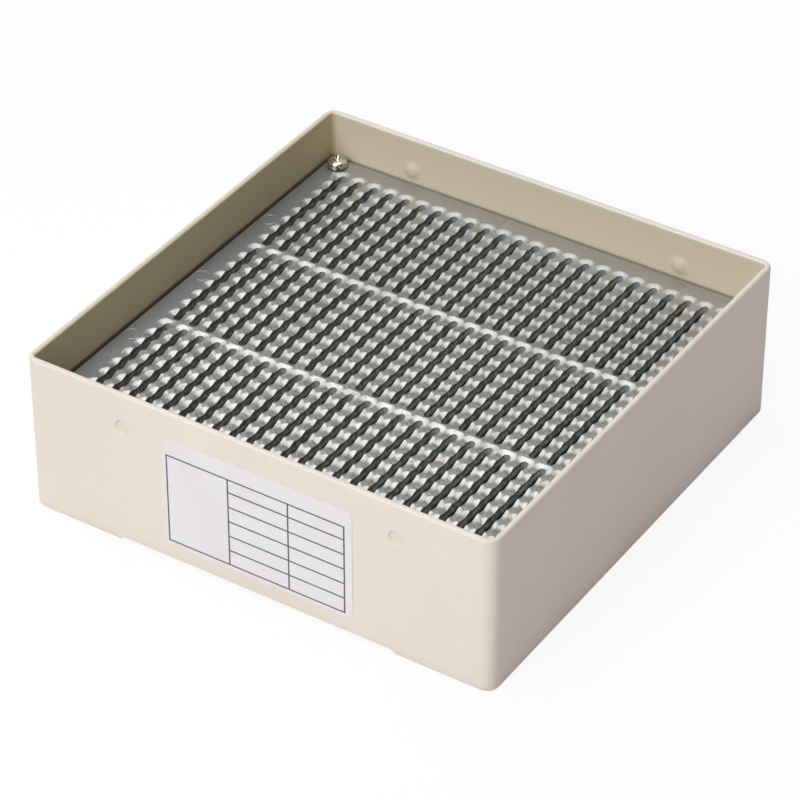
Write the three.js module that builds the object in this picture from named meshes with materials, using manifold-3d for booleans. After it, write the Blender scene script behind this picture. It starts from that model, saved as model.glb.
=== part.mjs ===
// Screw-arranging tray: an open moulded box that carries a slotted, countersunk plate on four corner posts.
// Millimetres, +Z up. The origin is the centre of the underside, and the labelled front wall faces -Y.
import * as THREE from 'three';
import { ConvexGeometry } from 'three/addons/geometries/ConvexGeometry.js';
import { mergeVertices } from 'three/addons/utils/BufferGeometryUtils.js';
import Module from 'manifold-3d';

// Tray body
const trayWidth = 125;
const trayDepth = 125;
const trayHeight = 42;
const wallThickness = 1.6;
const cornerRadius = 3.2;
const leastRadius = 0.4;
const rimRound = 0.5;
const floorThickness = 1.8;

// The two feet run front to back along the sides, with a shallow channel between them
const footWidth = 24.3;
const footHeight = 1.1;
const footRamp = 2;

// Round detents pressed into the front and back walls above the plate, each pair a little right of the middle
const frontDetentSpacing = 73;
const frontDetentShift = 1;
const backDetentSpacing = 75.4;
const backDetentShift = 0.4;
const detentDrop = 9;
const detentDiameter = 4.4;
const detentHeight = 0.5;
const detentRamp = 0.8;

// Slotted plate, with its top face below the tray's rim by the drop
const plateDrop = 12.5;
const plateThickness = 4;
const plateGap = 0.6;
const plateMargin = 6.5;
const bankCount = 3;
const seatPitch = 4.65;
const slotWidth = 1.9;
const seatDiameter = 4.5;
const seatDepth = 0.65;
const seatCornerInset = 0.1;

// Corner screws, and the posts that they go into
const screwInset = 3.4;
const screwDiameter = 2.6;
const screwLength = 8;
const headDiameter = 5;
const headHeight = 1.8;
const headEdgeHeight = 0.8;
const headCrownDiameter = 3;
const recessSpan = 2.8;
const recessWidth = 0.6;
const recessDepth = 1.1;
const holeClearance = 0.3;
const threadClearance = 0.15;
const postDiameter = 7;
const postRibWidth = 2.4;
const postRibDrop = 1;
const pilotSpare = 1;

// Paper label on the front wall
const labelWidth = 50.5;
const labelTopMargin = 6.8;
const labelBottomMargin = 5;
const labelShift = 1.1;
const labelThickness = 0.15;
const labelRadius = 1.6;

// How far a cutter runs past the face that it opens
const overrun = 0.5;
const seatOverrun = 0.1;

// Steps of the round forms
const cornerSteps = 2;
const slotEndSteps = 2;
const rimSteps = 2;
const roundSides = 12;

// Where the pieces meet
const innerWidth = trayWidth - 2 * wallThickness;
const innerDepth = trayDepth - 2 * wallThickness;
const innerRadius = Math.max(cornerRadius - wallThickness, leastRadius);
const plateWidth = innerWidth - 2 * plateGap;
const plateDepth = innerDepth - 2 * plateGap;
const plateRadius = Math.max(innerRadius - plateGap, leastRadius);
const plateTop = trayHeight - plateDrop;
const plateBottom = plateTop - plateThickness;
const screwX = plateWidth / 2 - screwInset;
const screwY = plateDepth / 2 - screwInset;
const detentRows = [[-1, frontDetentSpacing, frontDetentShift], [1, backDetentSpacing, backDetentShift]];

// As many slots and seats as the plate has room for inside its plain border
const slotCount = Math.floor((plateWidth - 2 * plateMargin) / seatPitch) + 1;
const rowCount = Math.floor((plateDepth - 2 * plateMargin) / seatPitch) + 1;
const seatsPerSlot = Math.floor(rowCount / bankCount);

const wasm = await Module();
wasm.setup();

// A closed three.js geometry as a solid that can be joined and cut
function toSolid(geometry) {
  const plain = geometry.clone();
  plain.deleteAttribute('normal');
  plain.deleteAttribute('uv');
  const merged = mergeVertices(plain);
  const triVerts = [];
  for (let i = 0; i < merged.index.count; i += 3) {
    const [a, b, c] = [0, 1, 2].map((corner) => merged.index.getX(i + corner));
    if (a !== b && b !== c && c !== a) {
      triVerts.push(a, b, c);
    }
  }
  return new wasm.Manifold(new wasm.Mesh({
    numProp: 3,
    vertProperties: Float32Array.from(merged.attributes.position.array),
    triVerts: Uint32Array.from(triVerts),
  }));
}

// A solid back as a geometry for a mesh
function toGeometry(solid) {
  const { vertProperties, triVerts } = solid.getMesh();
  const geometry = new THREE.BufferGeometry();
  geometry.setAttribute('position', new THREE.BufferAttribute(Float32Array.from(vertProperties), 3));
  geometry.setIndex(new THREE.BufferAttribute(Uint32Array.from(triVerts), 1));
  geometry.computeVertexNormals();
  return geometry;
}

// A rectangle about the origin with round corners
function roundedRectangle(width, height, radius) {
  const x = width / 2 - radius;
  const y = height / 2 - radius;
  const shape = new THREE.Shape();
  shape.absarc(x, y, radius, 0, Math.PI / 2);
  shape.absarc(-x, y, radius, Math.PI / 2, Math.PI);
  shape.absarc(-x, -y, radius, Math.PI, 1.5 * Math.PI);
  shape.absarc(x, -y, radius, 1.5 * Math.PI, 2 * Math.PI);
  return shape;
}

// A shape raised from one height to another
function prism(shape, bottom, top, steps = cornerSteps) {
  const options = { depth: top - bottom, bevelEnabled: false, curveSegments: steps };
  return new THREE.ExtrudeGeometry(shape, options).translate(0, 0, bottom);
}

// An upright cylinder between two heights
function post(radius, bottom, top) {
  const cylinder = new THREE.CylinderGeometry(radius, radius, top - bottom, roundSides);
  return cylinder.rotateX(Math.PI / 2).translate(0, 0, (bottom + top) / 2);
}

// An upright box between two corners
function block(low, high) {
  const size = high.map((value, axis) => value - low[axis]);
  const middle = high.map((value, axis) => (value + low[axis]) / 2);
  return new THREE.BoxGeometry(...size).translate(...middle);
}

// The block that the tray is hollowed from, rounded along its rim and base
function trayBlock() {
  const outline = roundedRectangle(trayWidth, trayDepth, cornerRadius);
  const shell = new THREE.ExtrudeGeometry(outline, {
    depth: trayHeight - 2 * rimRound,
    bevelThickness: rimRound,
    bevelSize: rimRound,
    bevelOffset: -rimRound,
    bevelSegments: rimSteps,
    curveSegments: cornerSteps,
  });
  return shell.translate(0, 0, rimRound);
}

// The flare that takes the sharp edge off the inside of the rim
function rimFlare(outline) {
  const flare = new THREE.ExtrudeGeometry(outline, {
    depth: overrun,
    bevelThickness: rimRound,
    bevelSize: rimRound,
    bevelSegments: 1,
    curveSegments: cornerSteps,
  });
  return flare.translate(0, 0, trayHeight);
}

// The section of the channel under the floor, closed along a flat line
function channelSection(lift, flat) {
  const mouth = trayWidth / 2 - footWidth;
  const crown = mouth - footRamp;
  return new THREE.Shape([
    new THREE.Vector2(mouth, flat),
    new THREE.Vector2(mouth, lift),
    new THREE.Vector2(crown, lift + footHeight),
    new THREE.Vector2(-crown, lift + footHeight),
    new THREE.Vector2(-mouth, lift),
    new THREE.Vector2(-mouth, flat),
  ]);
}

// A section in X and Z drawn out along Y, evenly to both sides
function alongDepth(shape, length) {
  return prism(shape, -length / 2, length / 2).rotateX(Math.PI / 2);
}

// A round flat-topped cap that stands inwards from the front wall, on a short plug that reaches back
function detentCap(plug) {
  const radius = detentDiameter / 2;
  const profile = [
    new THREE.Vector2(0, -plug),
    new THREE.Vector2(radius, -plug),
    new THREE.Vector2(radius, 0),
    new THREE.Vector2(radius - detentRamp, detentHeight),
    new THREE.Vector2(0, detentHeight),
  ];
  return new THREE.LatheGeometry(profile, roundSides);
}

// A round post on the floor, tied to both walls of its corner by ribs
function cornerPost(sideX, sideY) {
  const bottom = floorThickness / 2;
  const ribTop = plateBottom - postRibDrop;
  const reachX = sideX * ((trayWidth - wallThickness) / 2 - screwX);
  const reachY = sideY * ((trayDepth - wallThickness) / 2 - screwY);
  const half = postRibWidth / 2;
  const round = post(postDiameter / 2, bottom, plateBottom);
  const ribX = block([Math.min(0, reachX), -half, bottom], [Math.max(0, reachX), half, ribTop]);
  const ribY = block([-half, Math.min(0, reachY), bottom], [half, Math.max(0, reachY), ribTop]);
  const placed = [round, ribX, ribY].map((piece) => piece.translate(sideX * screwX, sideY * screwY, 0));
  return placed.map(toSolid).reduce((joined, piece) => joined.add(piece));
}

// The hole that a screw cuts its thread in
function pilotHole(sideX, sideY) {
  const bottom = plateTop - screwLength - pilotSpare;
  const hole = post(screwDiameter / 2 + threadClearance, bottom, plateBottom + overrun);
  return toSolid(hole.translate(sideX * screwX, sideY * screwY, 0));
}

function makeTrayBody() {
  const innerOutline = roundedRectangle(innerWidth, innerDepth, innerRadius);
  const cavity = prism(innerOutline, floorThickness, trayHeight + overrun);
  let body = toSolid(trayBlock()).subtract(toSolid(cavity)).subtract(toSolid(rimFlare(innerOutline)));

  // The floor rises over the channel at an even thickness
  const hump = alongDepth(channelSection(floorThickness, floorThickness / 2), innerDepth + wallThickness);
  const channel = alongDepth(channelSection(0, -overrun), trayDepth + 2 * overrun);
  body = body.add(toSolid(hump)).subtract(toSolid(channel));

  const detentZ = trayHeight - detentDrop;
  for (const sideX of [-1, 1]) {
    for (const [sideY, spacing, shift] of detentRows) {
      body = body.add(cornerPost(sideX, sideY)).subtract(pilotHole(sideX, sideY));
      const cap = detentCap(wallThickness / 2);
      if (sideY > 0) {
        cap.rotateX(Math.PI);
      }
      const detentX = sideX * spacing / 2 + shift;
      const bump = cap.clone().translate(detentX, sideY * innerDepth / 2, detentZ);
      const dimple = cap.clone().translate(detentX, sideY * trayDepth / 2, detentZ);
      body = body.add(toSolid(bump)).subtract(toSolid(dimple));
    }
  }
  return toGeometry(body);
}

// A countersunk seat: a six-sided pit with a corner to each side, and two just inside the slot at each end
function seatPit(x, y) {
  const radius = seatDiameter / 2;
  const tipDepth = seatDepth * radius / (radius - slotWidth / 2);
  const turn = Math.acos((slotWidth / 2 - seatCornerInset) / radius);
  const rim = radius * (tipDepth + seatOverrun) / tipDepth;
  const angles = [0, turn, Math.PI - turn, Math.PI, Math.PI + turn, -turn];
  const corners = angles.map((angle) => new THREE.Vector3(
    x + rim * Math.cos(angle),
    y + rim * Math.sin(angle),
    plateTop + seatOverrun,
  ));
  return new ConvexGeometry([...corners, new THREE.Vector3(x, y, plateTop - tipDepth)]);
}

// A through slot with round ends, drawn out along Y
function slotPrism(x, y) {
  const span = (seatsPerSlot - 1) * seatPitch;
  const shape = new THREE.Shape();
  shape.absarc(x, y + span / 2, slotWidth / 2, 0, Math.PI);
  shape.absarc(x, y - span / 2, slotWidth / 2, Math.PI, 2 * Math.PI);
  return prism(shape, plateBottom - overrun, plateTop + overrun, slotEndSteps);
}

// The place of one copy in an even row about zero
function inRow(index, count, pitch) {
  return (index - (count - 1) / 2) * pitch;
}

function makeScrewPlate() {
  const cuts = [];
  for (let bank = 0; bank < bankCount; bank += 1) {
    const bankY = inRow(bank, bankCount, seatsPerSlot * seatPitch);
    for (let slot = 0; slot < slotCount; slot += 1) {
      const slotX = inRow(slot, slotCount, seatPitch);
      cuts.push(slotPrism(slotX, bankY));
      for (let seat = 0; seat < seatsPerSlot; seat += 1) {
        cuts.push(seatPit(slotX, bankY + inRow(seat, seatsPerSlot, seatPitch)));
      }
    }
  }
  for (const sideX of [-1, 1]) {
    for (const sideY of [-1, 1]) {
      const hole = post(screwDiameter / 2 + holeClearance, plateBottom - overrun, plateTop + overrun);
      cuts.push(hole.translate(sideX * screwX, sideY * screwY, 0));
    }
  }
  const outline = roundedRectangle(plateWidth, plateDepth, plateRadius);
  const allCuts = cuts.map(toSolid).reduce((joined, cut) => joined.add(cut));
  return toGeometry(toSolid(prism(outline, plateBottom, plateTop)).subtract(allCuts));
}

// A pan-head screw with a cross recess, with the seat of its head at zero
function makePlateScrew() {
  const shank = screwDiameter / 2;
  const head = headDiameter / 2;
  const crown = headCrownDiameter / 2;
  const shoulder = crown + (head - crown) * Math.SQRT1_2;
  const shoulderHeight = headEdgeHeight + (headHeight - headEdgeHeight) * Math.SQRT1_2;
  const profile = [
    new THREE.Vector2(0, -screwLength),
    new THREE.Vector2(shank / 2, -screwLength),
    new THREE.Vector2(shank, -screwLength + shank),
    new THREE.Vector2(shank, 0),
    new THREE.Vector2(head, 0),
    new THREE.Vector2(head, headEdgeHeight),
    new THREE.Vector2(shoulder, shoulderHeight),
    new THREE.Vector2(crown, headHeight),
    new THREE.Vector2(0, headHeight),
  ];
  let screw = toSolid(new THREE.LatheGeometry(profile, roundSides).rotateX(Math.PI / 2));
  const wings = [[recessSpan, recessWidth], [recessWidth, recessSpan]];
  for (const [x, y] of wings) {
    const low = [-x / 2, -y / 2, headHeight - recessDepth];
    const high = [x / 2, y / 2, headHeight + overrun];
    screw = screw.subtract(toSolid(block(low, high)));
  }
  return toGeometry(screw);
}

function makeSpecLabel() {
  const height = trayHeight - labelTopMargin - labelBottomMargin;
  const sheet = prism(roundedRectangle(labelWidth, height, labelRadius), 0, labelThickness);
  return sheet.rotateX(Math.PI / 2).translate(labelShift, -trayDepth / 2, labelBottomMargin + height / 2);
}

// Finishes
const ivoryPlastic = { color: 0xe4dac8, roughness: 0.55, metalness: 0 };
const castZinc = { color: 0x8b8e8c, roughness: 0.42, metalness: 0.9 };
const nickelPlate = { color: 0xcfc8b8, roughness: 0.2, metalness: 1 };
const whitePaper = { color: 0xe8e6ea, roughness: 0.6, metalness: 0 };

const screwTray = new THREE.Group();

function addPiece(name, geometry, finish) {
  const mesh = new THREE.Mesh(geometry, new THREE.MeshStandardMaterial(finish));
  mesh.name = name;
  screwTray.add(mesh);
  return mesh;
}

addPiece('tray_body', makeTrayBody(), ivoryPlastic);
addPiece('screw_plate', makeScrewPlate(), castZinc);
for (const [sideY, row] of [[1, 'back'], [-1, 'front']]) {
  for (const [sideX, side] of [[-1, 'left'], [1, 'right']]) {
    const screw = addPiece(`plate_screw_${row}_${side}`, makePlateScrew(), nickelPlate);
    screw.position.set(sideX * screwX, sideY * screwY, plateTop);
  }
}
addPiece('spec_label', makeSpecLabel(), whitePaper);

export default screwTray;
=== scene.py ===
import math
import bmesh
import bpy
from mathutils import Matrix, Vector


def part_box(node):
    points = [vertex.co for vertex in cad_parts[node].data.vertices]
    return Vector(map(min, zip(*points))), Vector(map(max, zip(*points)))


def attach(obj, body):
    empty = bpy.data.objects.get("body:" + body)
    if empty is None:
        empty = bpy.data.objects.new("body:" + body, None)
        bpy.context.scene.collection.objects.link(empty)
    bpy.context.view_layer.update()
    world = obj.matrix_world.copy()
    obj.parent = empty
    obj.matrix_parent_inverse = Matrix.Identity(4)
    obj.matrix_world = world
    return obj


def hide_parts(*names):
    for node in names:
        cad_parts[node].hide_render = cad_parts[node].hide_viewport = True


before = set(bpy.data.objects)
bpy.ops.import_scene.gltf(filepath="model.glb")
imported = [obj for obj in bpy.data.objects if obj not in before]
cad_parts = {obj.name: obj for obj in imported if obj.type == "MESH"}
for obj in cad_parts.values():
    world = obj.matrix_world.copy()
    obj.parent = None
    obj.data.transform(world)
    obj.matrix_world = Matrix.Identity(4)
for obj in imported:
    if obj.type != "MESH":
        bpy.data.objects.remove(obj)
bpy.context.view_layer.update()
mm = 0.001
apex = 0.05 * mm  # least radius at the tip of a turned shape
noiseMean = 0.5
print("frame loaded with", len(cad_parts), "solids")


class Wire:
    # a socket in a finish, so that shader maths reads as plain expressions
    def __init__(self, finish, socket):
        self.finish = finish
        self.socket = socket

    def maths(self, operation, first, second=0.0):
        return self.finish.node("ShaderNodeMath", {"operation": operation}, {0: first, 1: second})

    def __add__(self, other):
        return self.maths("ADD", self, other)

    def __radd__(self, other):
        return self.maths("ADD", other, self)

    def __sub__(self, other):
        return self.maths("SUBTRACT", self, other)

    def __rsub__(self, other):
        return self.maths("SUBTRACT", other, self)

    def __mul__(self, other):
        return self.maths("MULTIPLY", self, other)

    def __rmul__(self, other):
        return self.maths("MULTIPLY", other, self)

    def __lt__(self, other):
        return self.maths("LESS_THAN", self, other)

    def __gt__(self, other):
        return self.maths("GREATER_THAN", self, other)

    def __abs__(self):
        return self.maths("ABSOLUTE", self)

    def atLeast(self, other):
        return self.maths("MAXIMUM", self, other)

    def root(self):
        return self.maths("SQRT", self)


class Finish:
    # one material and the nodes that make it
    def __init__(self, name):
        self.material = bpy.data.materials.new(name)
        self.material.use_nodes = True
        self.tree = self.material.node_tree
        self.tree.nodes.clear()

    def node(self, kind, settings=None, sockets=None, out=0):
        made = self.tree.nodes.new(kind)
        for name, value in (settings or {}).items():
            setattr(made, name, value)
        for key, value in (sockets or {}).items():
            if isinstance(value, Wire):
                self.tree.links.new(value.socket, made.inputs[key])
            else:
                made.inputs[key].default_value = value
        return Wire(self, made.outputs[out]) if made.outputs else None

    def place(self):
        return self.node("ShaderNodeTexCoord", out="Object")

    def along(self, axis):
        return self.node("ShaderNodeSeparateXYZ", None, {0: self.place()}, out=axis)

    def facing(self, axis):
        # how far the surface itself looks along an axis
        outwards = self.node("ShaderNodeTexCoord", out="Normal")
        return self.node("ShaderNodeSeparateXYZ", None, {0: outwards}, out=axis)

    def inset(self, half, radius):
        # how far a point lies inside a square with round corners, seen from above
        overX = (abs(self.along("X")) - (half - radius)).atLeast(0.0)
        overY = (abs(self.along("Y")) - (half - radius)).atLeast(0.0)
        return radius - (overX * overX + overY * overY).root()

    def noise(self, scale, detail, rough, stretch=(1, 1, 1)):
        sockets = {0: self.place(), 1: stretch}
        spread = self.node("ShaderNodeVectorMath", {"operation": "MULTIPLY"}, sockets)
        sockets = {"Vector": spread, "Scale": scale, "Detail": detail, "Roughness": rough}
        return self.node("ShaderNodeTexNoise", {"noise_dimensions": "3D"}, sockets)

    def cells(self, scale):
        sockets = {"Vector": self.place(), "Scale": scale}
        return self.node("ShaderNodeTexVoronoi", {"feature": "F1"}, sockets)

    def fade(self, value, low, high, first=0.0, second=1.0):
        settings = {"interpolation_type": "SMOOTHSTEP"}
        sockets = {0: value, 1: low, 2: high, 3: first, 4: second}
        return self.node("ShaderNodeMapRange", settings, sockets)

    def tinted(self, mask, first, second, blend="MIX"):
        settings = {"data_type": "RGBA", "blend_type": blend}
        return self.node("ShaderNodeMix", settings, {0: mask, 6: first, 7: second}, out=2)

    def bump(self, height, distance):
        sockets = {"Height": height, "Distance": distance, "Strength": 1.0}
        return self.node("ShaderNodeBump", None, sockets)

    def surface(self, sockets):
        shader = self.node("ShaderNodeBsdfPrincipled", None, sockets)
        self.node("ShaderNodeOutputMaterial", None, {"Surface": shader})
        return self.material


def colour(red, green, blue):
    return (red, green, blue, 1.0)


def rising(mask, least):
    # from the least value to 1, as the mask goes from 0 to 1
    return least + (1 - least) * mask


def roundedRing(halfX, halfY, radius, z, steps):
    # a rectangle with round corners, seen from above, anticlockwise
    ring = []
    for quarter, (sideX, sideY) in enumerate(((1, 1), (-1, 1), (-1, -1), (1, -1))):
        for step in range(steps + 1):
            turn = math.radians(90) * (quarter + step / steps)
            x = sideX * (halfX - radius) + radius * math.cos(turn)
            y = sideY * (halfY - radius) + radius * math.sin(turn)
            ring.append((x, y, z))
    return ring


def circle(radius, z, sides):
    turns = [math.tau * side / sides for side in range(sides)]
    return [(radius * math.cos(turn), radius * math.sin(turn), z) for turn in turns]


def loft(rings, closed=False):
    # a skin over rings of equal count, with both ends closed or the last ring joined to the first
    count = len(rings[0])
    points = [point for ring in rings for point in ring]
    faces = []
    levels = len(rings) if closed else len(rings) - 1
    for level in range(levels):
        low = level * count
        high = (level + 1) % len(rings) * count
        for side in range(count):
            ahead = (side + 1) % count
            faces.append((low + side, low + ahead, high + ahead, high + side))
    if not closed:
        faces.append(tuple(reversed(range(count))))
        faces.append(tuple(range(len(points) - count, len(points))))
    return points, faces


def lathe(profile, sides, closed=False):
    return loft([circle(radius, z, sides) for radius, z in profile], closed)


def moved(shape, x=0.0, y=0.0, z=0.0):
    points, faces = shape
    return [(px + x, py + y, pz + z) for px, py, pz in points], faces


def turned(shape, matrix):
    points, faces = shape
    return [tuple(matrix @ Vector(point)) for point in points], faces


def together(shapes):
    points = []
    faces = []
    for shapePoints, shapeFaces in shapes:
        first = len(points)
        points.extend(shapePoints)
        faces.extend(tuple(first + index for index in face) for face in shapeFaces)
    return points, faces


def makePiece(name, shape):
    points, faces = shape
    mesh = bpy.data.meshes.new(name)
    mesh.from_pydata(points, [], faces)
    skin = bmesh.new()
    skin.from_mesh(mesh)
    bmesh.ops.recalc_face_normals(skin, faces=skin.faces)
    skin.to_mesh(mesh)
    skin.free()
    piece = bpy.data.objects.new(name, mesh)
    bpy.context.collection.objects.link(piece)
    return piece


def carve(piece, shape, operation="DIFFERENCE"):
    tool = makePiece("tool", shape)
    step = piece.modifiers.new("carve", "BOOLEAN")
    step.operation = operation
    step.solver = "MANIFOLD"
    step.object = tool
    bpy.context.view_layer.update()
    worked = piece.evaluated_get(bpy.context.evaluated_depsgraph_get())
    before = piece.data
    after = bpy.data.meshes.new_from_object(worked)
    piece.modifiers.clear()
    piece.data = after
    after.name = piece.name
    bpy.data.meshes.remove(before)
    bpy.data.meshes.remove(tool.data)


def weld(piece, reach=0.002 * mm):
    # closes the slivers that cuts leave where edges almost meet
    skin = bmesh.new()
    skin.from_mesh(piece.data)
    bmesh.ops.remove_doubles(skin, verts=skin.verts, dist=reach)
    bmesh.ops.dissolve_degenerate(skin, edges=skin.edges, dist=reach)
    skin.to_mesh(piece.data)
    skin.free()


def dress(piece, material, nodes, sharpAngle=30):
    # finish, smooth shading with crisp edges, and the solids that the piece stands for
    weld(piece)
    piece.data.materials.clear()
    piece.data.materials.append(material)
    piece.data.shade_smooth()
    piece.data.set_sharp_from_angle(angle=math.radians(sharpAngle))
    normals = piece.modifiers.new("evenNormals", "WEIGHTED_NORMAL")
    normals.keep_sharp = True
    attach(piece, "root")
    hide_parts(*nodes)
    print(piece.name, "has", len(piece.data.polygons), "faces")


def inRow(count, pitch, middle=0.0):
    return [middle + (index - (count - 1) / 2) * pitch for index in range(count)]


def quarterTurn(steps):
    return [math.radians(90) * step / steps for step in range(steps + 1)]


# Finishes: each noise is given as scale, detail, roughness and stretch,
# and each span as the two levels between which a mark comes in

ivory = {
    "colour": colour(0.81, 0.745, 0.655),
    "warm": colour(0.79, 0.715, 0.61),
    "scuff": colour(0.86, 0.80, 0.71),
    "darkLow": colour(0.55, 0.48, 0.37),
    "wellShade": colour(0.735, 0.65, 0.48),  # painted shade: the inside darker and warmer than the outside
    "leftWellShade": colour(0.63, 0.525, 0.32),  # painted shade, darkest on the left wall, which stands in shade
    # painted shade by the plate and on the left wall
    "paintedShade": colour(0.22, 0.18, 0.12),
    "rosy": colour(1.0, 0.93, 0.94),  # painted shade: times the right wall's colour, a little redder and darker than the rest
    "rough": 0.46,
    "refraction": 1.5,
    "clouds": (28, 4.0, 0.6),
    "flow": (60, 3.0, 0.55, (1, 1, 0.25)),
    "grain": (2600, 2.0, 0.6),
    "hairs": (900, 1.0, 0.5, (0.06, 0.06, 1.0)),
    "poreScale": 1500,
    "cloudSpan": (0.35, 0.7),
    "hairSpan": (0.70, 0.76),
    "scuffedSpan": (0.5, 0.62),
    "wellSpan": (0.5 * mm, 0.95 * mm),  # in from the outer face
    "wellDrop": 1.2 * mm,  # below the rim, where the painted shade in the well is full
    "leftRise": 0.9 * mm,  # and how much higher it starts on the left wall
    "rightShadeWidth": 0.8 * mm,  # in from the right face, where the painted shade lies
    "floorDarkening": 3.0 * mm,  # height of the darkening along the ground
    "seam": 0.2 * mm,  # height of the painted shade along the plate
    "leftSeam": 0.6 * mm,  # and how much higher it stands along the left wall
    # shares of each tint at its strongest
    "scuffShare": 0.35,
    "lowDarkShare": 0.35,
    "leftLowShadeShare": 0.2,  # painted shade on the left wall, down towards the plate
    "seamShadeShare": 0.45,  # painted shade in the seam, apart from the left wall's
    # changes of roughness
    "flowRough": 0.10,
    "scuffRough": 0.08,
    "grainRough": 0.05,
    # relief, in depths of the grain
    "grainDepth": 0.012 * mm,
    "pores": 0.35,
    "scuffs": 0.6,
}


def ivoryPlastic(half, corner, rim, plateTop):
    finish = Finish("ivoryPlastic")
    x = finish.along("X")
    z = finish.along("Z")
    clouds = finish.noise(*ivory["clouds"])
    flow = finish.noise(*ivory["flow"])
    grain = finish.noise(*ivory["grain"])
    pores = finish.cells(ivory["poreScale"])
    hairs = finish.noise(*ivory["hairs"])
    scuffs = finish.fade(hairs, *ivory["hairSpan"]) * finish.fade(clouds, *ivory["scuffedSpan"])
    base = finish.tinted(finish.fade(clouds, *ivory["cloudSpan"]), ivory["colour"], ivory["warm"])
    base = finish.tinted(scuffs * ivory["scuffShare"], base, ivory["scuff"])
    # darker and patchy towards the ground
    nearFloor = finish.fade(z, ivory["floorDarkening"], 0.0)
    base = finish.tinted(nearFloor * flow * ivory["lowDarkShare"], base, ivory["darkLow"])
    # painted shade: the well darker and warmer, its left wall darker still, and a dark band along the plate
    inside = finish.fade(finish.inset(half, corner), *ivory["wellSpan"])
    atLeft = finish.fade(x, corner - half, 0.5 * corner - half)
    wellShade = inside * finish.fade(z, rim + ivory["leftRise"] * atLeft, rim - ivory["wellDrop"])
    base = finish.tinted(wellShade, base, ivory["wellShade"])
    base = finish.tinted(wellShade * atLeft, base, ivory["leftWellShade"])
    # painted shade: the left wall darker down towards the plate, and a dark band along the plate, higher on
    # the left wall
    low = finish.fade(z, rim, plateTop)
    base = finish.tinted(inside * atLeft * low * ivory["leftLowShadeShare"], base, ivory["paintedShade"])
    seamTop = plateTop + ivory["seam"] + ivory["leftSeam"] * atLeft
    seam = inside * finish.fade(z, seamTop, plateTop) * rising(atLeft, ivory["seamShadeShare"])
    base = finish.tinted(seam, base, ivory["paintedShade"])
    # painted shade on the right wall, from how light falls on that side
    atRight = finish.fade(x, half - ivory["rightShadeWidth"], half)
    base = finish.tinted(atRight, base, ivory["rosy"], "MULTIPLY")
    rough = ivory["rough"] + ivory["flowRough"] * (flow - noiseMean)
    rough = rough + ivory["scuffRough"] * scuffs + ivory["grainRough"] * (grain - noiseMean)
    height = grain + ivory["pores"] * pores - ivory["scuffs"] * scuffs
    normal = finish.bump(height, ivory["grainDepth"])
    sockets = {"Base Color": base, "Roughness": rough, "Normal": normal, "IOR": ivory["refraction"]}
    return finish.surface(sockets)


zinc = {
    "colour": colour(0.53, 0.545, 0.525),
    "pale": colour(0.60, 0.61, 0.59),
    "cool": colour(0.47, 0.535, 0.58),  # the plain strips at both sides
    "rubbed": colour(0.71, 0.705, 0.675),  # the seats, brightened by screws
    "dark": colour(0.25, 0.26, 0.255),
    "rosy": colour(0.66, 0.60, 0.565),
    "mossy": colour(0.50, 0.56, 0.535),
    # in the slots: painted shade under the lip and in the depth, and a pale middle that is partly painted
    # light
    "lipShade": colour(0.12, 0.123, 0.118),
    "slot": colour(0.84, 0.88, 0.845),
    "frontEndShading": colour(0.42, 0.43, 0.415),  # painted shading: end walls that face the front get their own grey
    "deepShade": colour(0.085, 0.087, 0.083),
    "metallic": 0.74,
    "dull": 0.65,  # share of the metal's shine that the raw slots lack
    "rough": 0.36,
    "clouds": (45, 5.0, 0.62),
    "flow": (160, 4.0, 0.6, (1, 0.2, 1)),
    "grain": (2100, 3.0, 0.65),
    "dents": (620, 2.0, 0.5),
    "hairs": (1100, 1.0, 0.5, (1.0, 0.05, 1.0)),
    "stains": (230, 2.0, 0.5),
    "knocks": (850, 3.0, 0.6),  # dull marks left by screws
    "coarse": (900, 2.0, 0.7),
    "pitScale": 420,
    "cloudSpan": (0.35, 0.68),
    "pitSpan": (0.16, 0.05),
    "hairSpan": (0.72, 0.77),
    "scratchedSpan": (0.45, 0.6),
    "rosySpan": (0.50, 0.68),
    "mossySpan": (0.50, 0.32),
    "knockSpan": (0.52, 0.66),
    "flowSpan": (0.5, 0.75),
    "grainSpan": (0.45, 0.25),
    "coarseSpan": (0.38, 0.62, 0.3, 1.0),  # levels, then the shares at both
    "endSpan": (-0.25, -0.75),  # how squarely a slot's end faces the front
    # depths below the top face
    "seatSpan": (0.02 * mm, 0.15 * mm),
    "edgeSpan": (0.6 * mm, 0.8 * mm),
    "slotSpan": (0.95 * mm, 1.5 * mm),
    "deepShadeSpan": (2.3 * mm, 2.9 * mm),
    # distances in from the plate's edge
    # painted shade at the plate's very edge, in the gap along the wall
    "borderShade": 0.15 * mm,
    "sideStrip": (6.0 * mm, 4.2 * mm),
    # places along Y: the plate is darker towards the back, and the back is used less than the front, so it
    # has fewer knocks
    "backDarkFrom": -35 * mm,
    "knocksFrom": (8 * mm, -18 * mm),
    # shares of each tint at its strongest
    "backDarkShare": 0.42,
    "stainShare": 0.5,
    "knockShare": 0.5,
    "flowShare": 0.3,
    "grainShare": 0.35,
    "scratchShare": 0.5,
    # least shares: knocks at the back and outside the seats, and the grey of the dirtier left slots
    "backKnocks": 0.35,
    "flatKnocks": 0.25,
    "leftSlots": 0.6,
    # changes of roughness
    "flowRough": 0.16,
    "slotRough": 0.12,
    "scratchRough": 0.06,
    "grainRough": 0.12,
    # relief, in depths of the grain
    "grainDepth": 0.024 * mm,
    "dentDepth": 3.6,
    "seatDents": 1.8,  # as much more in the seats in use
    "flowDepth": 0.8,
    "pits": 1.2,
    "scratches": 0.4,
}


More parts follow.
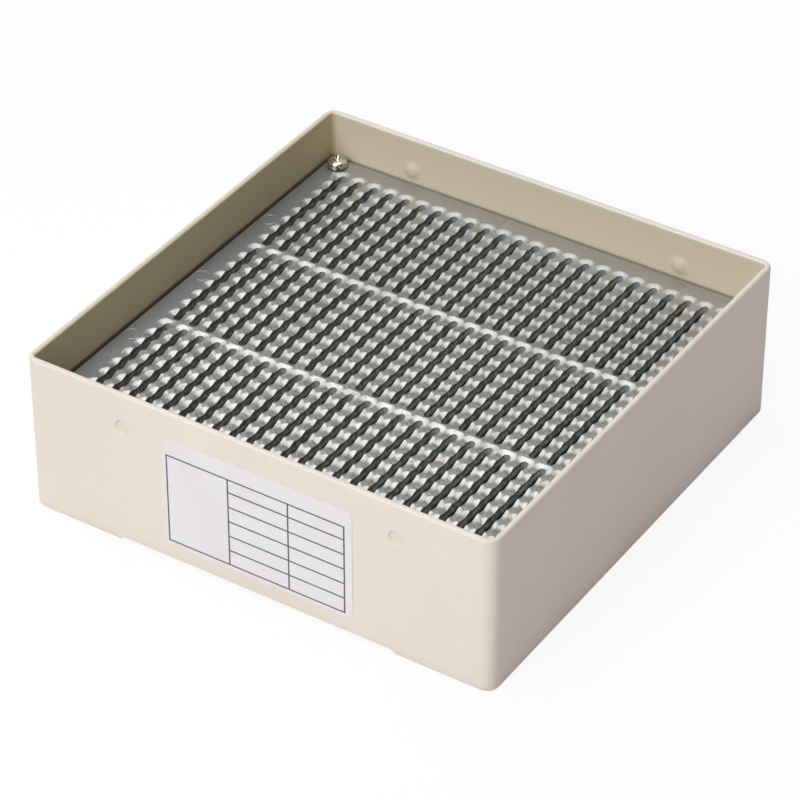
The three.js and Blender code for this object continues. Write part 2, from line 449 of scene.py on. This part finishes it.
def castZinc(half, corner, top):
    finish = Finish("castZinc")
    x = finish.along("X")
    y = finish.along("Y")
    z = finish.along("Z")
    clouds = finish.noise(*zinc["clouds"])
    flow = finish.noise(*zinc["flow"])
    grain = finish.noise(*zinc["grain"])
    dents = finish.noise(*zinc["dents"])
    hairs = finish.noise(*zinc["hairs"])
    stains = finish.noise(*zinc["stains"])
    pits = finish.fade(finish.cells(zinc["pitScale"]), *zinc["pitSpan"])
    scratches = finish.fade(hairs, *zinc["hairSpan"]) * finish.fade(clouds, *zinc["scratchedSpan"])

    def below(span):
        return finish.fade(z, top - span[0], top - span[1])

    base = finish.tinted(finish.fade(clouds, *zinc["cloudSpan"]), zinc["colour"], zinc["pale"])
    stripFrom, stripTo = zinc["sideStrip"]
    base = finish.tinted(finish.fade(abs(x), half - stripFrom, half - stripTo), base, zinc["cool"])
    inSeat = below(zinc["seatSpan"])
    base = finish.tinted(inSeat, base, zinc["rubbed"])
    # stains, darkening towards the back, knocks towards the front, and fine wear
    for span, tint in (("rosySpan", "rosy"), ("mossySpan", "mossy")):
        base = finish.tinted(finish.fade(stains, *zinc[span]) * zinc["stainShare"], base, zinc[tint])
    backDarkening = zinc["backDarkShare"] * finish.fade(y, zinc["backDarkFrom"], half)
    base = finish.tinted(backDarkening, base, zinc["dark"])
    used = finish.fade(y, *zinc["knocksFrom"], zinc["backKnocks"], 1.0)
    knocks = finish.fade(finish.noise(*zinc["knocks"]), *zinc["knockSpan"])
    knocks = knocks * used * rising(inSeat, zinc["flatKnocks"])
    base = finish.tinted(knocks * zinc["knockShare"], base, zinc["dark"])
    base = finish.tinted(finish.fade(flow, *zinc["flowSpan"]) * zinc["flowShare"], base, zinc["dark"])
    base = finish.tinted(finish.fade(grain, *zinc["grainSpan"]) * zinc["grainShare"], base, zinc["dark"])
    base = finish.tinted(scratches * zinc["scratchShare"], base, zinc["pale"])
    # the slot walls: painted shade just under the lip, a coarse pale middle that is partly the raw metal's
    # grain and partly painted light, and painted shade in the depth
    inSlot = below(zinc["edgeSpan"])
    base = finish.tinted(inSlot, base, zinc["lipShade"])
    coarse = finish.fade(finish.noise(*zinc["coarse"]), *zinc["coarseSpan"])
    cleaner = finish.fade(x, -half, 0.5 * half, zinc["leftSlots"], 1.0)
    base = finish.tinted(below(zinc["slotSpan"]) * coarse * cleaner, base, zinc["slot"])
    # painted shading chosen by which way a wall faces: slot ends that face the front
    frontEndShading = inSlot * finish.fade(finish.facing("Y"), *zinc["endSpan"])
    base = finish.tinted(frontEndShading, base, zinc["frontEndShading"])
    base = finish.tinted(below(zinc["deepShadeSpan"]), base, zinc["deepShade"])
    # painted shade: the plate darkened at its very edge, in the gap along the wall
    atEdge = finish.fade(finish.inset(half, corner), zinc["borderShade"], 0.0)
    base = finish.tinted(atEdge, base, zinc["dark"])
    rough = zinc["rough"] + zinc["flowRough"] * (flow - noiseMean) + zinc["slotRough"] * inSlot
    rough = rough - zinc["scratchRough"] * scratches + zinc["grainRough"] * (grain - noiseMean)
    dentDepth = zinc["dentDepth"] + zinc["seatDents"] * used * inSeat
    height = grain + dentDepth * dents + zinc["flowDepth"] * flow
    height = height - zinc["pits"] * pits - zinc["scratches"] * scratches
    normal = finish.bump(height, zinc["grainDepth"])
    metallic = zinc["metallic"] * (1 - zinc["dull"] * inSlot)
    return finish.surface({"Base Color": base, "Roughness": rough, "Metallic": metallic, "Normal": normal})


nickel = {
    "colour": colour(0.74, 0.71, 0.64),
    "worn": colour(0.60, 0.56, 0.48),
    # painted shade and dark reflection at the foot of the head
    "darkLow": colour(0.10, 0.085, 0.06),
    "rough": 0.15,
    "clouds": (420, 4.0, 0.6),
    "grain": (3800, 2.0, 0.6),
    "hairs": (2600, 1.0, 0.5, (1.0, 0.06, 0.4)),
    "wornSpan": (0.4, 0.7),
    "hairSpan": (0.66, 0.74),
    "shadeRise": 0.8 * mm,  # above the plate, where the head meets it: painted shade and dark reflection up to here
    # changes of roughness
    "wornRough": 0.10,
    "scratchRough": 0.12,
    "ringRough": 0.2,
    "grainDepth": 0.006 * mm,
}


def nickelPlate(plateTop):
    finish = Finish("nickelPlate")
    worn = finish.fade(finish.noise(*nickel["clouds"]), *nickel["wornSpan"])
    grain = finish.noise(*nickel["grain"])
    scratches = finish.fade(finish.noise(*nickel["hairs"]), *nickel["hairSpan"])
    # painted shade and dark reflection: the head darkened where it meets the plate
    darkLow = finish.fade(finish.along("Z"), plateTop + nickel["shadeRise"], plateTop)
    base = finish.tinted(worn, nickel["colour"], nickel["worn"])
    base = finish.tinted(darkLow, base, nickel["darkLow"])
    rough = nickel["rough"] + nickel["wornRough"] * worn
    rough = rough + nickel["scratchRough"] * scratches + nickel["ringRough"] * darkLow
    normal = finish.bump(grain - scratches, nickel["grainDepth"])
    return finish.surface({"Base Color": base, "Roughness": rough, "Metallic": 1.0, "Normal": normal})


paper = {
    "colour": colour(0.815, 0.79, 0.825),
    "tired": colour(0.785, 0.755, 0.765),
    "ink": colour(0.022, 0.021, 0.024),
    "rough": 0.38,
    "refraction": 1.45,
    "fibres": (1900, 3.0, 0.6, (1.0, 1.0, 0.5)),
    "clouds": (70, 3.0, 0.5),
    "blur": (2500, 2.0, 0.6),
    "tiredSpan": (0.4, 0.7),
    "leastInk": 0.86,
    "fibreRough": 0.08,
    "inkRough": 0.08,
    "fibreDepth": 0.008 * mm,
    # the printed table: its sides along X, its foot and top above the ground, its lines
    "frame": (-23.3 * mm, 24.25 * mm, 6.3 * mm, 30.5 * mm),
    "columns": (-6.7 * mm, 9.4 * mm),
    "rowLines": 5,
    "firstRow": 3.6 * mm,  # the heading row is a little lower than the others
    "line": 0.40 * mm,
    "wobble": 0.05 * mm,
}


def ruledPaper():
    finish = Finish("ruledPaper")
    across = finish.along("X")
    up = finish.along("Z")
    left, right, low, high = paper["frame"]
    half = paper["line"] / 2
    blur = finish.noise(*paper["blur"])
    wobble = half + paper["wobble"] * (blur - noiseMean)

    def rule(axis, at):
        return abs(axis - at) < wobble

    def within(axis, first, last):
        return (axis > first - half) * (axis < last + half)

    rows = within(across, left, right)
    columns = within(up, low, high)
    ink = (rule(up, low) + rule(up, high)) * rows + (rule(across, left) + rule(across, right)) * columns
    for column in paper["columns"]:
        ink = ink + rule(across, column) * columns
    table = within(across, paper["columns"][0], right)
    top = high - paper["firstRow"]
    for line in range(paper["rowLines"]):
        ink = ink + rule(up, top - line * (top - low) / paper["rowLines"]) * table
    ink = ink > 0.5  # where lines cross, too
    fibres = finish.noise(*paper["fibres"])
    tired = finish.fade(finish.noise(*paper["clouds"]), *paper["tiredSpan"])
    base = finish.tinted(tired, paper["colour"], paper["tired"])
    base = finish.tinted(ink * rising(blur, paper["leastInk"]), base, paper["ink"])
    rough = paper["rough"] + paper["fibreRough"] * (fibres - noiseMean) + paper["inkRough"] * ink
    normal = finish.bump(fibres, paper["fibreDepth"])
    sockets = {"Base Color": base, "Roughness": rough, "Normal": normal, "IOR": paper["refraction"]}
    return finish.surface(sockets)


# Tray: one moulded box with round corners, feet, detents and posts

tray = {
    "wall": 1.6 * mm,
    "corner": 3.2 * mm,
    "innerCorner": 0.9 * mm,
    "leastRadius": 0.4 * mm,
    "baseRound": 0.5 * mm,
    "rimOuter": 0.6 * mm,
    "rimInner": 0.5 * mm,
    "floor": 1.8 * mm,
    "floorFillet": 0.8 * mm,
    "footWidth": 24.3 * mm,
    "footHeight": 1.1 * mm,
    "footRamp": 2.0 * mm,
    # wall side, spacing and shift of each pair of detents
    "detents": ((-1, 73 * mm, 1.0 * mm), (1, 75.4 * mm, 0.4 * mm)),
    "detentDrop": 9.0 * mm,
    "dimple": (2.1 * mm, 0.8 * mm, 0.65 * mm),  # radius, width of the ramp, depth
    "bump": (3.0 * mm, 2.6 * mm, 0.75 * mm),
    "postRadius": 3.5 * mm,
    "postEdge": 0.3 * mm,
    "plateGap": 0.02 * mm,
    "ribWidth": 2.4 * mm,
    "ribRound": 0.2 * mm,
    "ribDrop": 1.0 * mm,
    "pilotRadius": 1.45 * mm,
    "pilotDepth": 5.0 * mm,
    "cornerSteps": 10,
    "roundSteps": 5,
    "rampSteps": 10,
    "ribSteps": 2,
    "sides": 40,
}


def trayShell(high):
    base = tray["baseRound"]
    outer = tray["rimOuter"]
    inner = tray["rimInner"]
    fillet = tray["floorFillet"]
    turns = [(1 - math.sin(turn), 1 - math.cos(turn)) for turn in quarterTurn(tray["roundSteps"])]
    # inset from the outer wall and height: base, rim outside, rim inside, floor
    profile = [(base * first, base * second) for first, second in turns]
    profile += [(outer * second, high.z - outer * first) for first, second in turns]
    profile += [(tray["wall"] - inner * first, high.z - inner * second) for first, second in turns]
    profile += [(tray["wall"] + fillet * second, tray["floor"] + fillet * first) for first, second in turns]
    rings = []
    tightening = (tray["corner"] - tray["innerCorner"]) / tray["wall"]
    for inset, z in profile:
        radius = max(tray["corner"] - inset * tightening, tray["leastRadius"])
        rings.append(roundedRing(high.x - inset, high.y - inset, radius, z, tray["cornerSteps"]))
    return loft(rings)


def channel(halfWidth, halfDepth, bottom, top):
    # a long low prism along Y, with S-shaped ramps at both sides
    outline = [(-halfWidth, bottom), (halfWidth, bottom)]
    ramp = []
    for step in range(tray["rampSteps"] + 1):
        part = step / tray["rampSteps"]
        rise = part * part * (3 - 2 * part)
        ramp.append((halfWidth - part * tray["footRamp"], top - tray["footHeight"] * (1 - rise)))
    outline += ramp + [(-x, z) for x, z in reversed(ramp)]
    return loft([[(x, y, z) for x, z in outline] for y in (-halfDepth, halfDepth)])


def detent(radius, ramp, height):
    # a round swelling with a soft ramp, on a short plug, pointing along Z
    profile = [(radius, -0.5 * tray["wall"])]
    for step in range(tray["rampSteps"] + 1):
        part = step / tray["rampSteps"]
        rise = 0.5 - 0.5 * math.cos(math.pi * part)
        profile.append((radius - ramp * part, height * rise))
    profile.append((apex, height))
    return lathe(profile, tray["sides"])


def addPost(piece, x, y, reach, foot, top):
    # a post under a corner of the plate, tied to both walls by ribs, with a hole for the screw
    radius = tray["postRadius"]
    edge = tray["postEdge"]
    post = lathe([(radius, foot), (radius, top - edge), (radius - edge, top)], tray["sides"])
    carve(piece, moved(post, x, y), "UNION")
    half = tray["ribWidth"] / 2
    heights = (foot, top - tray["ribDrop"])
    ribX = [roundedRing(reach / 2, half, tray["ribRound"], z, tray["ribSteps"]) for z in heights]
    ribY = [roundedRing(half, reach / 2, tray["ribRound"], z, tray["ribSteps"]) for z in heights]
    carve(piece, moved(loft(ribX), x + math.copysign(reach / 2, x), y), "UNION")
    carve(piece, moved(loft(ribY), x, y + math.copysign(reach / 2, y)), "UNION")
    hole = [(tray["pilotRadius"], z) for z in (top - tray["pilotDepth"], top + edge)]
    carve(piece, moved(lathe(hole, tray["sides"]), x, y))


def makeTray():
    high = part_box("tray_body")[1]
    plateLow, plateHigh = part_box("screw_plate")
    screwLow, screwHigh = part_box("plate_screw_back_right")
    postAt = (screwLow.x + screwHigh.x) / 2
    innerX = high.x - tray["wall"]
    innerY = high.y - tray["wall"]
    spare = 0.2 * tray["wall"]
    foot = 0.5 * tray["floor"]
    piece = makePiece("trayBox", trayShell(high))
    # feet: the underside is raised between them, and the floor over it
    span = high.x - tray["footWidth"]
    humpTop = tray["floor"] + tray["footHeight"]
    carve(piece, channel(span + spare, innerY + spare, foot, humpTop), "UNION")
    carve(piece, channel(span, high.y + spare, -spare, tray["footHeight"]))
    for x in (-postAt, postAt):
        for y in (-postAt, postAt):
            addPost(piece, x, y, innerX - postAt + spare, foot, plateLow.z - tray["plateGap"])
    # detents: a dimple outside and a bump inside, two on the front wall and two on the back
    detentZ = high.z - tray["detentDrop"]
    for facing, spacing, shift in tray["detents"]:
        inwards = Matrix.Rotation(facing * math.radians(90), 4, "X")
        dimple = turned(detent(*tray["dimple"]), inwards)
        bump = turned(detent(*tray["bump"]), inwards)
        for x in inRow(2, spacing, shift):
            carve(piece, moved(dimple, x, facing * high.y, detentZ))
            carve(piece, moved(bump, x, facing * innerY, detentZ), "UNION")
    finish = ivoryPlastic(high.x, tray["corner"], high.z, plateHigh.z)
    dress(piece, finish, ["tray_body"])


# Plate: a casting with three banks of slots, each slot a row of countersunk seats

plate = {
    "slots": 24,
    "banks": 3,
    "seatsPerSlot": 8,
    "pitch": 4.655 * mm,  # from slot to slot
    "rowPitch": 4.633 * mm,  # from seat to seat along a slot
    "shiftX": 0.34 * mm,  # the rows of slots sit a little right of the middle
    "shiftY": -0.11 * mm,
    "slotWidth": 1.96 * mm,
    "slotOver": 0.36 * mm,  # how far each slot runs past its end seats
    "slotShift": 0.07 * mm,
    "seatRadius": 2.68 * mm,
    "seatDepth": 0.72 * mm,  # at the slot's edge
    "seatCurve": 1.22,  # 1 is a straight cone, more rolls the rim over
    "seatTip": 0.1 * mm,
    "seatLift": 0.002 * mm,  # so that the rim doesn't lie in the top face
    "seatCrowding": 1.5,  # more draws the seat's rings towards its rim
    "corner": 1.0 * mm,
    "edge": 0.3 * mm,
    "holeRadius": 1.45 * mm,
    "marksPerSide": 3,  # ejector marks
    "markAt": 57.75 * mm,  # along X
    "markPitch": 28.3 * mm,
    "markRadius": 2.0 * mm,
    "markBead": 0.13 * mm,
    "spare": 1.0 * mm,  # how far a cut stands out of the plate
    "sharpAngle": 13,
    "cornerSteps": 6,
    "edgeSteps": 3,
    "endSteps": 9,
    "seatSides": 28,
    "seatSteps": 7,
    "beadSides": 8,
    "markSides": 64,
    "holeSides": 32,
}


def seat():
    # a dished countersink, its rim at Z 0
    radius = plate["seatRadius"]
    span = radius - plate["slotWidth"] / 2
    profile = [(radius, plate["spare"])]
    for step in range(plate["seatSteps"] + 1):
        share = (step / plate["seatSteps"]) ** plate["seatCrowding"]
        inwards = (radius - plate["seatTip"]) * share
        depth = plate["seatDepth"] * (inwards / span) ** plate["seatCurve"]
        profile.append((radius - inwards, plate["seatLift"] - depth))
    return lathe(profile, plate["seatSides"])


def ejectorMark():
    # the fine round bead that an ejector pin leaves on a casting
    bead = circle(plate["markBead"], 0.0, plate["beadSides"])
    loop = [(plate["markRadius"] + point[0], point[1]) for point in bead]
    return lathe(loop, plate["markSides"], closed=True)


def plateBlank(low, high):
    edge = plate["edge"]
    profile = [(edge, low.z), (0.0, low.z + edge)]  # inset from the side, height
    for turn in quarterTurn(plate["edgeSteps"]):
        profile.append((edge * (1 - math.cos(turn)), high.z - edge * (1 - math.sin(turn))))
    rings = []
    for inset, z in profile:
        radius = plate["corner"] - inset
        rings.append(roundedRing(high.x - inset, high.y - inset, radius, z, plate["cornerSteps"]))
    return loft(rings)


def makePlate():
    low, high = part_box("screw_plate")
    piece = makePiece("slottedPlate", plateBlank(low, high))
    # slots and screw holes go right through
    bankPitch = plate["seatsPerSlot"] * plate["rowPitch"]
    slotX = inRow(plate["slots"], plate["pitch"], plate["shiftX"])
    rowY = inRow(plate["banks"] * plate["seatsPerSlot"], plate["rowPitch"], plate["shiftY"])
    bankY = inRow(plate["banks"], bankPitch, plate["shiftY"])
    radius = plate["slotWidth"] / 2
    halfSlot = (bankPitch - plate["rowPitch"]) / 2 + radius + plate["slotOver"]
    heights = (low.z - plate["spare"], high.z + plate["spare"])
    slot = loft([roundedRing(radius, halfSlot, radius, z, plate["endSteps"]) for z in heights])
    cuts = [moved(slot, x, y + plate["slotShift"]) for x in slotX for y in bankY]
    screwLow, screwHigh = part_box("plate_screw_back_right")
    screwAt = (screwLow.x + screwHigh.x) / 2
    hole = lathe([(plate["holeRadius"], z) for z in heights], plate["holeSides"])
    cuts += [moved(hole, x, y) for x in (-screwAt, screwAt) for y in (-screwAt, screwAt)]
    carve(piece, together(cuts))
    mark = ejectorMark()
    markX = (-plate["markAt"], plate["markAt"])
    markY = inRow(plate["marksPerSide"], plate["markPitch"])
    marks = [moved(mark, x, y, high.z) for x in markX for y in markY]
    carve(piece, together(marks), "UNION")
    # neighbouring seats run into each other, so they are cut like the two colours of a chessboard
    shape = seat()
    groups = ([], [])
    for column, x in enumerate(slotX):
        for row, y in enumerate(rowY):
            groups[(column + row) % 2].append(moved(shape, x, y, high.z))
    for group in groups:
        carve(piece, together(group))
    finish = castZinc(high.x, plate["corner"], high.z)
    dress(piece, finish, ["screw_plate"], plate["sharpAngle"])


# Screws: pan heads with a cross recess, one at each corner of the plate

screw = {
    "headRadius": 2.5 * mm,
    "proud": 0.5 * mm,  # the crown's rise over the plain solid
    "headHeight": 2.3 * mm,
    "rimHeight": 1.1 * mm,
    "headEdge": 0.12 * mm,
    "crown": 3.0,  # exponent of the head's curve, 2 is a plain ellipse
    "shankRadius": 1.3 * mm,
    "rootRadius": 1.0 * mm,
    "tipRadius": 0.1 * mm,
    "threadPitch": 0.9 * mm,
    "point": 1.2 * mm,
    "recessSpan": 3.5 * mm,
    "recessWidth": 0.95 * mm,
    "recessDepths": (1.4 * mm, 1.43 * mm),  # unequal, so that no faces of the two cuts coincide
    "recessOver": 0.3 * mm,
    "recessShares": (0.4, 1.15),  # of the span and width, at the bottom and the top of the cut
    "recessRound": 0.4,  # of the half width
    "recessSteps": 3,
    "sides": 48,
    "crownSteps": 14,
    "turns": {"back_left": 33, "back_right": 63, "front_left": 50, "front_right": 5},
}


def screwProfile(bottom, top):
    under = top - screw["headHeight"]
    tip = bottom + screw["point"]
    pitch = screw["threadPitch"]
    profile = [(screw["tipRadius"], bottom), (screw["rootRadius"], tip)]
    for thread in range(int((under - tip) / pitch)):
        z = tip + thread * pitch
        profile.append((screw["shankRadius"], z + 0.5 * pitch))
        profile.append((screw["rootRadius"], z + pitch))
    profile.append((screw["rootRadius"], under))
    profile.append((screw["headRadius"] - screw["headEdge"], under))
    profile.append((screw["headRadius"], under + screw["headEdge"]))
    rim = under + screw["rimHeight"]
    power = 2 / screw["crown"]
    for turn in quarterTurn(screw["crownSteps"])[:-1]:
        radius = screw["headRadius"] * math.cos(turn) ** power
        profile.append((radius, rim + (top - rim) * math.sin(turn) ** power))
    profile.append((apex, top))
    return profile


def wing(top, depth):
    # one bar of the cross, wider at the top
    rings = []
    for share, z in zip(screw["recessShares"], (top - depth, top + screw["recessOver"])):
        halfX = screw["recessSpan"] / 2 * share
        halfY = screw["recessWidth"] / 2 * share
        rings.append(roundedRing(halfX, halfY, screw["recessRound"] * halfY, z, screw["recessSteps"]))
    return loft(rings)


def makeScrews():
    finish = nickelPlate(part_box("screw_plate")[1].z)
    for corner, turn in screw["turns"].items():
        node = "plate_screw_" + corner
        low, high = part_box(node)
        x = (low.x + high.x) / 2
        y = (low.y + high.y) / 2
        top = high.z + screw["proud"]
        shape = lathe(screwProfile(low.z, top), screw["sides"])
        piece = makePiece("panScrew." + corner, moved(shape, x, y))
        for cross, depth in zip((0, 90), screw["recessDepths"]):
            spin = Matrix.Rotation(math.radians(turn + cross), 4, "Z")
            carve(piece, moved(turned(wing(top, depth), spin), x, y))
        dress(piece, finish, [node])


# Label: a thin sheet with round corners on the front wall

label = {"corner": 1.6 * mm, "edge": 0.04 * mm, "cornerSteps": 8}


def makeLabel():
    low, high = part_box("spec_label")
    halfX = (high.x - low.x) / 2
    halfZ = (high.z - low.z) / 2
    thick = high.y - low.y
    rings = []
    for inset, out in ((0.0, 0.0), (0.0, thick - label["edge"]), (label["edge"], thick)):
        radius = label["corner"] - inset
        rings.append(roundedRing(halfX - inset, halfZ - inset, radius, out, label["cornerSteps"]))
    upright = Matrix.Rotation(math.radians(90), 4, "X")
    sheet = turned(loft(rings), upright)
    piece = makePiece("ruledLabel", moved(sheet, low.x + halfX, high.y, low.z + halfZ))
    dress(piece, ruledPaper(), ["spec_label"])


makeTray()
makePlate()
makeScrews()
makeLabel()


# Stage: a white floor in a dim room, lamps and camera

studio = {
    "floorHalf": 6.0,
    "floorColour": colour(0.92, 0.92, 0.92),
    "floorGlow": 0.88,  # share of plain white that the camera sees on the floor
    "white": colour(1, 1, 1),
    "ambient": 0.01,
    "lamps": {
        # place, size and power of each soft lamp, all aimed at the tray
        "frontLamp": ((-0.02, -1.00, 0.80), 0.90, 8.8),
        "topLamp": ((-0.18, -0.03, 1.00), 1.52, 9.2),
        "leftLamp": ((-1.08, 0.42, 0.48), 1.10, 3.6),
        "rightLamp": ((0.95, -0.80, 0.45), 0.80, 0.5),
        "backLamp": ((0.00, 1.40, 0.36), 0.90, 1.0),
    },
    "aim": (0.0, 0.0, 0.02),
}


def shownRays(finish):
    # 1 for what the camera sees, straight or in metal and glass
    hidden = 1
    for ray in ("Is Camera Ray", "Is Glossy Ray", "Is Transmission Ray"):
        hidden = hidden * (1 - finish.node("ShaderNodeLightPath", out=ray))
    return 1 - hidden


def makeFloor():
    half = studio["floorHalf"]
    finish = Finish("paleFloor")
    glow = finish.node("ShaderNodeEmission", None, {"Color": studio["white"], "Strength": 1.0})
    matt = finish.node("ShaderNodeBsdfDiffuse", None, {"Color": studio["floorColour"]})
    share = shownRays(finish) * studio["floorGlow"]
    mixed = finish.node("ShaderNodeMixShader", None, {0: share, 1: matt, 2: glow})
    finish.node("ShaderNodeOutputMaterial", None, {"Surface": mixed})
    corners = [(-half, -half, 0), (half, -half, 0), (half, half, 0), (-half, half, 0)]
    floor = makePiece("paleFloor", (corners, [(0, 1, 2, 3)]))
    floor.data.materials.append(finish.material)


def makeBackdrop():
    world = bpy.data.worlds.new("dimRoom")
    bpy.context.scene.world = world
    world.use_nodes = True
    sky = world.node_tree.nodes["Background"]
    sky.inputs["Color"].default_value = studio["white"]
    sky.inputs["Strength"].default_value = studio["ambient"]


def aimed(place, aim):
    return (Vector(aim) - Vector(place)).to_track_quat("-Z", "Y").to_euler()


def makeLamps():
    for name, (place, size, power) in studio["lamps"].items():
        lamp = bpy.data.lights.new(name, "AREA")
        lamp.shape = "DISK"
        lamp.size = size
        lamp.energy = power
        stand = bpy.data.objects.new(name, lamp)
        stand.location = place
        stand.rotation_euler = aimed(place, studio["aim"])
        bpy.context.collection.objects.link(stand)


view = {
    "aim": (1.84 * mm, -5.37 * mm, 20.0 * mm),
    "azimuth": 32.857,  # degrees from the front towards the right side
    "elevation": 36.778,
    "distance": 880.7 * mm,
    "lens": 170.84,
    "sensor": 36.0,
    "nearest": 0.01,
    "farthest": 50.0,
}


def makeCamera():
    turn = math.radians(view["azimuth"])
    rise = math.radians(view["elevation"])
    back = Vector((math.sin(turn) * math.cos(rise), -math.cos(turn) * math.cos(rise), math.sin(rise)))
    lens = bpy.data.cameras.new("photoView")
    lens.lens = view["lens"]
    lens.sensor_width = view["sensor"]
    lens.sensor_fit = "HORIZONTAL"
    lens.clip_start = view["nearest"]
    lens.clip_end = view["farthest"]
    camera = bpy.data.objects.new("photoView", lens)
    camera.location = Vector(view["aim"]) + view["distance"] * back
    camera.rotation_euler = aimed(camera.location, view["aim"])
    bpy.context.collection.objects.link(camera)
    bpy.context.scene.camera = camera


makeFloor()
makeBackdrop()
makeLamps()
makeCamera()
bpy.context.scene.view_settings.view_transform = "Standard"
print("stage set")
